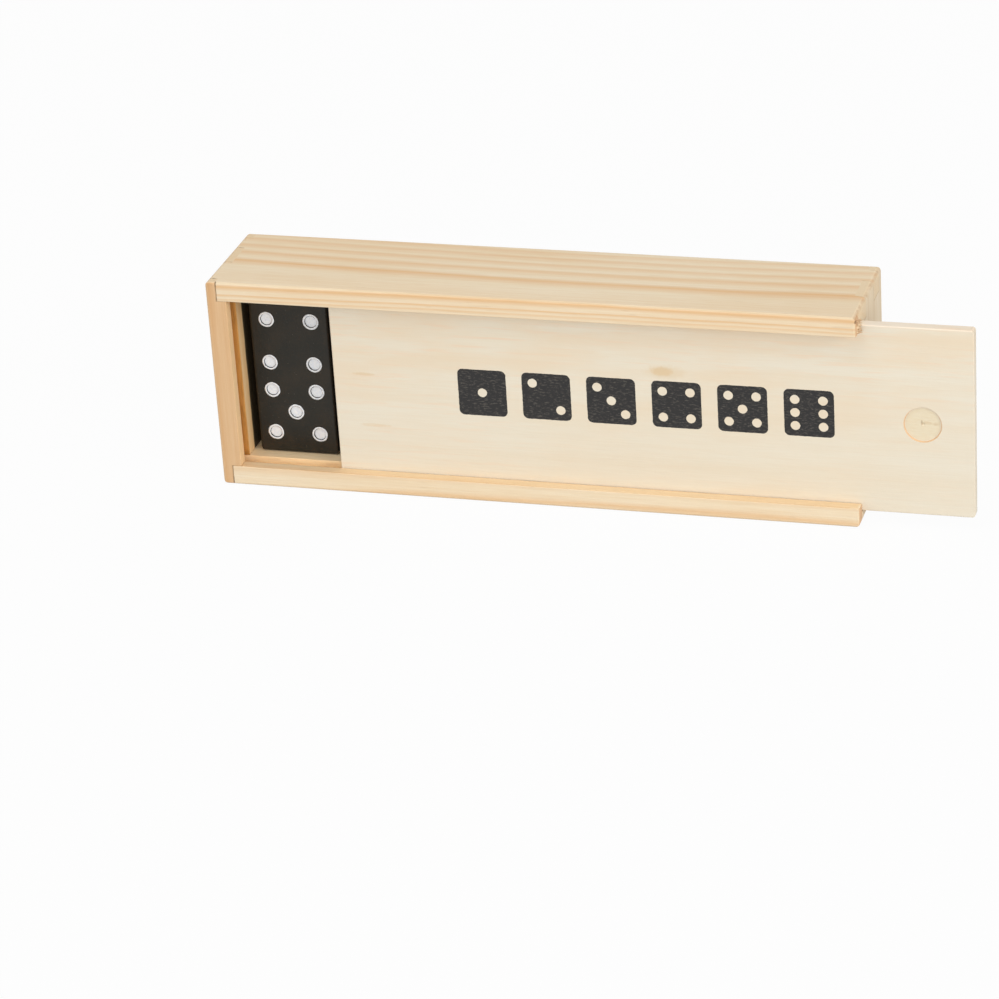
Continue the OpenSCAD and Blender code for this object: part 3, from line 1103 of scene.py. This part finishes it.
PRINT_SIZE, PRINT_PITCH, PRINT_DOT = 13.4, 17.8, 2.6
PRINT_START = Vector((LID_LOW.x + 41.7, LID_LOW.y, LID_MIDDLE.z + 0.6))
DIE_FACES = [[(0, 0)], [(-1, 1), (1, -1)], [(-1, 1), (0, 0), (1, -1)],
             [(-1, 1), (1, 1), (-1, -1), (1, -1)], [(-1, 1), (1, 1), (0, 0), (-1, -1), (1, -1)],
             [(-1, 1), (1, 1), (-1, 0), (1, 0), (-1, -1), (1, -1)]]
PRINT_VALUES = {"Square Size": PRINT_SIZE * MM, "Corner Radius": 1.4 * MM, "Dot Width": PRINT_DOT * MM,
                "Film": 0.02 * MM, "Raggedness": 0.24 * MM, "Seed": 4, "Ink": make_ink(),
                "Squares": len(DIE_FACES)}
print("printed squares:", len(DIE_FACES))


# %% Print tree
# Step between the points of an outline, in metres, scale of its noise, and distance at which shells weld
OUTLINE_STEP, OUTLINE_NOISE, WELD = 0.00035, 1400, 1e-6
CORNER_STEPS, DOT_STEPS = 5, 20


def make_print_tree():
    """Squares at the first points, with round openings at the others."""
    net, given, result = new_shapes("lid print", PRINT_VALUES)
    square = {"Width": given["Square Size"], "Height": given["Square Size"]}
    square = {"Curve": net.shape("CurvePrimitiveQuadrilateral", square), "Radius": given["Corner Radius"],
              "Count": CORNER_STEPS}
    square = net.shape("FilletCurve", square, mode="POLY")
    dot = net.shape("CurvePrimitiveCircle", {"Resolution": DOT_STEPS, "Radius": given["Dot Width"] * 0.5})
    index = net.out("GeometryNodeInputIndex")
    is_square = net.out("FunctionNodeCompare", {2: index, 3: given["Squares"]},
                        data_type="INT", operation="LESS_THAN")
    is_dot = net.out("FunctionNodeBooleanMath", {0: is_square}, operation="NOT")
    outlines = []
    for shape, chosen in ((square, is_square), (dot, is_dot)):
        placed = {"Points": given["Geometry"], "Selection": chosen, "Instance": shape}
        outlines.append(net.shape("InstanceOnPoints", placed))
    curves = net.shape("RealizeInstances", {"Geometry": net.union(*outlines)})
    curves = net.shape("ResampleCurve", {"Curve": curves, "Length": OUTLINE_STEP}, mode="LENGTH")
    amounts = net.join(given["Raggedness"], given["Raggedness"], 0)
    push = seeded_push(net, given["Seed"], OUTLINE_NOISE, 2, amounts)
    curves = net.shape("SetPosition", {"Geometry": curves, "Offset": push})
    sheet = net.shape("FillCurve", {"Curve": curves})
    extrusion = {"Mesh": sheet, "Offset": (0, 0, 1), "Offset Scale": given["Film"], "Individual": False}
    shells = net.shape("ExtrudeMesh", extrusion), net.shape("FlipFaces", {"Mesh": sheet})
    welded = net.shape("MergeByDistance", {"Geometry": net.union(*shells), "Distance": WELD})
    solid = net.shape("RealizeInstances", {"Geometry": welded})
    net.plug(result["Geometry"], net.shape("SetMaterial", {"Geometry": solid, "Material": given["Ink"]}))
    return net.tree


PRINT_TREE = make_print_tree()
print("tree:", PRINT_TREE.name)


# %% The printed squares
DOT_STEP = 0.28 * PRINT_SIZE
squares = [Vector((column * PRINT_PITCH, 0, 0)) for column in range(len(DIE_FACES))]
dots = [square + Vector((x, y, 0)) * DOT_STEP for square, face in zip(squares, DIE_FACES) for x, y in face]
print_points = [point * MM for point in squares + dots]
lid_print = grow("lid_print", print_points, PRINT_TREE, PRINT_VALUES, "lid")
stand_up = Matrix.Translation(PRINT_START * MM) @ Matrix.Rotation(math.radians(90), 4, "X")
lid_print.data.transform(stand_up)
print("print reaches from", [round(c / MM, 1) for c in (stand_up @ (squares[0] * MM))], "mm")

# %% [markdown]
# ## Floor, background and light
# A product shot on white: a pale floor, a white surround and large soft lamps. The floor partly glows
# for the camera, so it reads as white paper and still keeps the soft shadow of the box.

# %% Floor
WHITE, PAPER_GREY, PAPER_GLOW = (1, 1, 1, 1), srgb(206, 206, 206), 0.96
# Half of the floor's side, and its gap under the box, in metres
FLOOR_REACH, FLOOR_GAP = 4, 0.0002


def seen_directly(net):
    """1 for rays from the camera or a reflection, 0 for the light that falls on things."""
    path = net.outs("ShaderNodeLightPath")
    mirrored = net.math("MAXIMUM", path["Is Glossy Ray"], path["Is Transmission Ray"])
    return net.math("MAXIMUM", path["Is Camera Ray"], mirrored)


def make_floor():
    material, net = new_material("white_paper_floor")
    net.tree.nodes.clear()
    paper = net.out("ShaderNodeBsdfDiffuse", {"Color": PAPER_GREY})
    bright = net.out("ShaderNodeEmission", {"Color": WHITE, "Strength": 1})
    glow = seen_directly(net) * PAPER_GLOW
    blend = net.out("ShaderNodeMixShader", {0: glow, 1: paper, 2: bright})
    net.add("ShaderNodeOutputMaterial", {"Surface": blend})
    return material


corners = [(x * FLOOR_REACH, y * FLOOR_REACH, 0) for x, y in ((-1, -1), (1, -1), (1, 1), (-1, 1))]
floor_mesh = bpy.data.meshes.new("floor")
floor_mesh.from_pydata(corners, [], [(0, 1, 2, 3)])
floor_mesh.materials.append(make_floor())
floor = add_object("floor", floor_mesh)
floor.location.z = -FLOOR_GAP
print("floor", 2 * FLOOR_REACH, "m square")

# %% World and lamps
WORLD_STRENGTH = 0.4
world = bpy.data.worlds.new("surround")
bpy.context.scene.world = world
world.use_nodes = True
surround = Net(world.node_tree)
surround.tree.nodes.clear()
ends = {"Value": seen_directly(surround), "To Min": WORLD_STRENGTH, "To Max": 1}
strength = surround.out("ShaderNodeMapRange", ends)
sky = surround.out("ShaderNodeBackground", {"Color": WHITE, "Strength": strength})
surround.add("ShaderNodeOutputWorld", {"Surface": sky})

# Where the lamps point, in m. Lamp: place in m, width in m, power in W
LAMP_AIM = Vector((0, 0, 0.03))
LAMPS = {
    "front": ((0.4, -1.7, 0.45), 0.8, 7.8),
    "overhead": ((-0.2, -0.5, 1.6), 1, 8.8),
    "right": ((1.6, -0.8, 0.6), 1, 14.6),
    "left": ((-1.5, -0.6, 0.5), 1, 5),
}
for name, (place, width, power) in LAMPS.items():
    lamp = bpy.data.lights.new(name, "AREA")
    lamp.size, lamp.energy = width, power
    holder = add_object(name, lamp)
    holder.location = place
    holder.rotation_euler = (LAMP_AIM - Vector(place)).to_track_quat("-Z", "Y").to_euler()
bpy.context.scene.view_settings.view_transform = "Standard"
print("lamps:", sorted(LAMPS))
